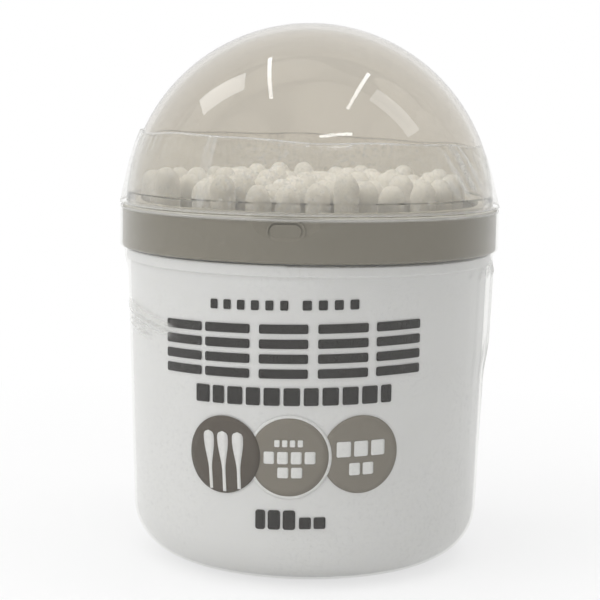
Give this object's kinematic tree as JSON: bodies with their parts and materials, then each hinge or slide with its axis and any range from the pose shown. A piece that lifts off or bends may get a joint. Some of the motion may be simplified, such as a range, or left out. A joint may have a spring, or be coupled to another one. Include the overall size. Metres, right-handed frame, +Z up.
{
  "type": "cotton swab tub",
  "caption": "Round tub of cotton swabs with a press-fitted collar, a hinged clear dome lid and clear shrink film.",
  "frame": {"origin": "middle of the foot ring, on the surface the tub stands on", "axes": "+Z up along the tub's axis, the thumb tab and label face -Y, the lid's hinge runs along X at +Y"},
  "size_m": [0.0758, 0.0772, 0.1061],
  "materials": {
    "tub_plastic": "opaque white moulded polypropylene, soft gloss",
    "collar_plastic": "opaque warm grey moulded polypropylene, satin",
    "clear_plastic": "colourless clear moulded polystyrene, glossy",
    "film": "thin clear heat-shrunk film, glossy and finely wrinkled",
    "paper_stick": "tightly rolled white paper, matt",
    "cotton": "white spun cotton, soft and slightly fibrous"
  },
  "bodies": {
    "container": {"collar": "collar_plastic", "film_sleeve": "film", "foot_buds_row_01": "cotton", "foot_buds_row_02": "cotton", "foot_buds_row_03": "cotton", "foot_buds_row_04": "cotton", "foot_buds_row_05": "cotton", "foot_buds_row_06": "cotton", "foot_buds_row_07": "cotton", "foot_buds_row_08": "cotton", "foot_buds_row_09": "cotton", "foot_buds_row_10": "cotton", "foot_buds_row_11": "cotton", "foot_buds_row_12": "cotton", "head_buds_row_01": "cotton", "head_buds_row_02": "cotton", "head_buds_row_03": "cotton", "head_buds_row_04": "cotton", "head_buds_row_05": "cotton", "head_buds_row_06": "cotton", "head_buds_row_07": "cotton", "head_buds_row_08": "cotton", "head_buds_row_09": "cotton", "head_buds_row_10": "cotton", "head_buds_row_11": "cotton", "head_buds_row_12": "cotton", "sticks_row_01": "paper_stick", "sticks_row_02": "paper_stick", "sticks_row_03": "paper_stick", "sticks_row_04": "paper_stick", "sticks_row_05": "paper_stick", "sticks_row_06": "paper_stick", "sticks_row_07": "paper_stick", "sticks_row_08": "paper_stick", "sticks_row_09": "paper_stick", "sticks_row_10": "paper_stick", "sticks_row_11": "paper_stick", "sticks_row_12": "paper_stick", "tub": "tub_plastic"},
    "lid": {"dome_lid": "clear_plastic", "film_lid_band": "film"}
  },
  "joints": [
    {"name": "lid_hinge", "type": "hinge", "parent": "container", "child": "lid", "pos_m": [0, 0.03797, 0.07005], "axis": [-1, 0, 0], "range_deg": [0, 110]}
  ]
}
